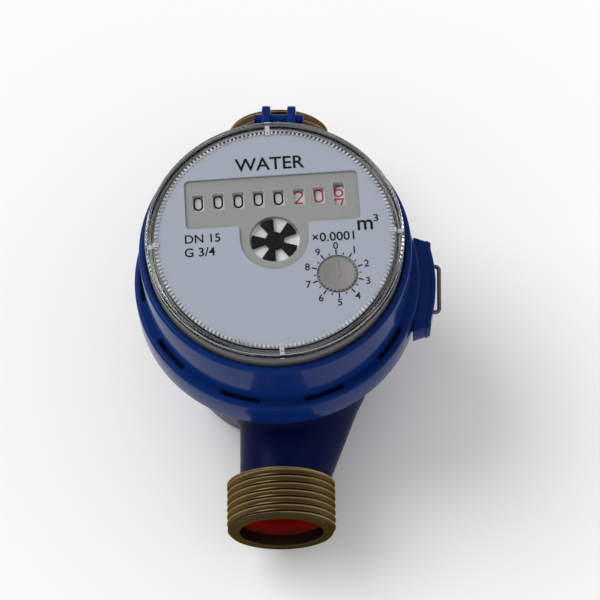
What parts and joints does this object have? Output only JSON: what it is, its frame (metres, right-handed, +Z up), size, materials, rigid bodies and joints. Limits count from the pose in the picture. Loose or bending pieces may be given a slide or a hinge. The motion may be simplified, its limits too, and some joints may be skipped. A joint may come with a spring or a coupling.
{
  "type": "water meter",
  "caption": "Dry-dial cold-water meter: blue cast body with two male-threaded ports, glossy locking ring, clear cover, number-wheel counter and flow star.",
  "frame": {"origin": "centre of the flat base, under the vertical axis of the meter", "axes": "+Y along the pipe from inlet to outlet, +Z up out of the dial, +X to the right seen from the inlet"},
  "size_m": [0.0741, 0.11, 0.0699],
  "materials": {
    "body_paint": "glossy blue enamel over cast brass, bare brass threads",
    "ring_blue": "glossy moulded blue",
    "clear_plastic": "clear polished",
    "strainer_red": "moulded dark red",
    "dial_white": "printed matt white",
    "frame_grey": "moulded warm grey",
    "wheel_grey": "pale grey with printed digits",
    "star_black": "black moulded",
    "pointer_grey": "grey-brown moulded",
    "gear_plastic": "natural acetal",
    "divider_plastic": "moulded off-white",
    "impeller_plastic": "moulded ivory",
    "bearing_red": "polished bush",
    "bridge_metal": "fine-brushed sheet",
    "steel": "ground steel",
    "magnet_dark": "sintered ferrite",
    "rubber_black": "matt black",
    "wire_dark": "dark drawn wire"
  },
  "bodies": {
    "housing": {"body": "body_paint", "inlet_strainer": "strainer_red", "chamber_pivot": "steel", "divider_plate": "divider_plastic", "divider_o_ring": "rubber_black", "magnetic_shield": "steel", "cover_gasket": "rubber_black", "clear_cover": "clear_plastic", "lock_ring": "ring_blue", "seal_wire": "wire_dark", "register_base": "divider_plastic", "idler_post": "steel", "bridge_plate": "bridge_metal", "counter_frame": "frame_grey", "dial_plate": "dial_white", "counter_shaft": "steel", "carry_shaft": "steel"},
    "impeller": {"impeller": "impeller_plastic", "impeller_bearing": "bearing_red", "impeller_axle": "steel", "impeller_magnet": "magnet_dark"},
    "register_drive": {"star_shaft": "steel", "follower_magnet": "magnet_dark", "centre_pinion": "gear_plastic", "flow_star": "star_black"},
    "reduction_gear": {"reduction_gear": "gear_plastic"},
    "worm_arbor": {"worm_arbor": "gear_plastic", "counter_worm": "gear_plastic"},
    "pointer": {"pointer_gear": "gear_plastic", "pointer_disc": "pointer_grey"},
    "number_wheel_1": {"number_wheel_1": "wheel_grey"},
    "number_wheel_2": {"number_wheel_2": "wheel_grey"},
    "number_wheel_3": {"number_wheel_3": "wheel_grey"},
    "number_wheel_4": {"number_wheel_4": "wheel_grey"},
    "number_wheel_5": {"number_wheel_5": "wheel_grey"},
    "number_wheel_6": {"number_wheel_6": "wheel_grey"},
    "number_wheel_7": {"number_wheel_7": "wheel_grey"},
    "number_wheel_8": {"number_wheel_8": "wheel_grey"},
    "carry_pinion_1": {"carry_pinion_1": "gear_plastic"},
    "carry_pinion_2": {"carry_pinion_2": "gear_plastic"},
    "carry_pinion_3": {"carry_pinion_3": "gear_plastic"},
    "carry_pinion_4": {"carry_pinion_4": "gear_plastic"},
    "carry_pinion_5": {"carry_pinion_5": "gear_plastic"},
    "carry_pinion_6": {"carry_pinion_6": "gear_plastic"},
    "carry_pinion_7": {"carry_pinion_7": "gear_plastic"}
  },
  "joints": [
    {"name": "impeller_spin", "type": "hinge", "parent": "housing", "child": "impeller", "pos_m": [0, 0, 0.018], "axis": [0, 0, 1], "continuous": true},
    {"name": "star_spin", "type": "hinge", "parent": "housing", "child": "register_drive", "pos_m": [0, 0, 0.064], "axis": [0, 0, 1], "continuous": true},
    {"name": "reduction_spin", "type": "hinge", "parent": "housing", "child": "reduction_gear", "pos_m": [0.00998, 0.00086, 0.0477], "axis": [0, 0, 1], "continuous": true},
    {"name": "worm_spin", "type": "hinge", "parent": "housing", "child": "worm_arbor", "pos_m": [0.01883, 0.00555, 0.05], "axis": [0, 0, 1], "continuous": true},
    {"name": "pointer_spin", "type": "hinge", "parent": "housing", "child": "pointer", "pos_m": [0.01449, -0.0095, 0.05], "axis": [0, 0, 1], "continuous": true},
    {"name": "wheel_8_spin", "type": "hinge", "parent": "housing", "child": "number_wheel_8", "pos_m": [0.01512, 0.01153, 0.0592], "axis": [0.9985, 0.0541, 0], "continuous": true},
    {"name": "wheel_7_spin", "type": "hinge", "parent": "housing", "child": "number_wheel_7", "pos_m": [0.01041, 0.01128, 0.0592], "axis": [0.9985, 0.0541, 0], "continuous": true},
    {"name": "wheel_6_spin", "type": "hinge", "parent": "housing", "child": "number_wheel_6", "pos_m": [0.00569, 0.01102, 0.0592], "axis": [0.9985, 0.0541, 0], "continuous": true},
    {"name": "wheel_5_spin", "type": "hinge", "parent": "housing", "child": "number_wheel_5", "pos_m": [0.00098, 0.01077, 0.0592], "axis": [0.9985, 0.0541, 0], "continuous": true},
    {"name": "wheel_4_spin", "type": "hinge", "parent": "housing", "child": "number_wheel_4", "pos_m": [-0.00373, 0.01051, 0.0592], "axis": [0.9985, 0.0541, 0], "continuous": true},
    {"name": "wheel_3_spin", "type": "hinge", "parent": "housing", "child": "number_wheel_3", "pos_m": [-0.00845, 0.01026, 0.0592], "axis": [0.9985, 0.0541, 0], "continuous": true},
    {"name": "wheel_2_spin", "type": "hinge", "parent": "housing", "child": "number_wheel_2", "pos_m": [-0.01316, 0.01, 0.0592], "axis": [0.9985, 0.0541, 0], "continuous": true},
    {"name": "wheel_1_spin", "type": "hinge", "parent": "housing", "child": "number_wheel_1", "pos_m": [-0.01787, 0.00974, 0.0592], "axis": [0.9985, 0.0541, 0], "continuous": true},
    {"name": "carry_7_spin", "type": "hinge", "parent": "housing", "child": "carry_pinion_7", "pos_m": [0.01247, 0.01683, 0.05464], "axis": [0.9985, 0.0541, 0], "continuous": true},
    {"name": "carry_6_spin", "type": "hinge", "parent": "housing", "child": "carry_pinion_6", "pos_m": [0.00775, 0.01658, 0.05464], "axis": [0.9985, 0.0541, 0], "continuous": true},
    {"name": "carry_5_spin", "type": "hinge", "parent": "housing", "child": "carry_pinion_5", "pos_m": [0.00304, 0.01632, 0.05464], "axis": [0.9985, 0.0541, 0], "continuous": true},
    {"name": "carry_4_spin", "type": "hinge", "parent": "housing", "child": "carry_pinion_4", "pos_m": [-0.00167, 0.01607, 0.05464], "axis": [0.9985, 0.0541, 0], "continuous": true},
    {"name": "carry_3_spin", "type": "hinge", "parent": "housing", "child": "carry_pinion_3", "pos_m": [-0.00638, 0.01581, 0.05464], "axis": [0.9985, 0.0541, 0], "continuous": true},
    {"name": "carry_2_spin", "type": "hinge", "parent": "housing", "child": "carry_pinion_2", "pos_m": [-0.0111, 0.01556, 0.05464], "axis": [0.9985, 0.0541, 0], "continuous": true},
    {"name": "carry_1_spin", "type": "hinge", "parent": "housing", "child": "carry_pinion_1", "pos_m": [-0.01581, 0.0153, 0.05464], "axis": [0.9985, 0.0541, 0], "continuous": true}
  ],
  "couplings": [
    {"joint": "star_spin", "follows": "impeller_spin", "ratio": 1},
    {"joint": "reduction_spin", "follows": "impeller_spin", "ratio": -0.25},
    {"joint": "worm_spin", "follows": "impeller_spin", "ratio": 0.0625},
    {"joint": "pointer_spin", "follows": "impeller_spin", "ratio": -0.03125},
    {"joint": "wheel_8_spin", "follows": "impeller_spin", "ratio": -0.003125},
    {"joint": "wheel_7_spin", "follows": "impeller_spin", "ratio": -0.0003125},
    {"joint": "wheel_6_spin", "follows": "impeller_spin", "ratio": -0.00003125},
    {"joint": "wheel_5_spin", "follows": "impeller_spin", "ratio": -0.000003125},
    {"joint": "wheel_4_spin", "follows": "impeller_spin", "ratio": -0.0000003125},
    {"joint": "wheel_3_spin", "follows": "impeller_spin", "ratio": -0.00000003125},
    {"joint": "wheel_2_spin", "follows": "impeller_spin", "ratio": -0.000000003125},
    {"joint": "wheel_1_spin", "follows": "impeller_spin", "ratio": -0.0000000003125},
    {"joint": "carry_7_spin", "follows": "impeller_spin", "ratio": 0.00078125},
    {"joint": "carry_6_spin", "follows": "impeller_spin", "ratio": 0.000078125},
    {"joint": "carry_5_spin", "follows": "impeller_spin", "ratio": 0.0000078125},
    {"joint": "carry_4_spin", "follows": "impeller_spin", "ratio": 0.00000078125},
    {"joint": "carry_3_spin", "follows": "impeller_spin", "ratio": 0.000000078125},
    {"joint": "carry_2_spin", "follows": "impeller_spin", "ratio": 0.0000000078125},
    {"joint": "carry_1_spin", "follows": "impeller_spin", "ratio": 0.00000000078125}
  ]
}
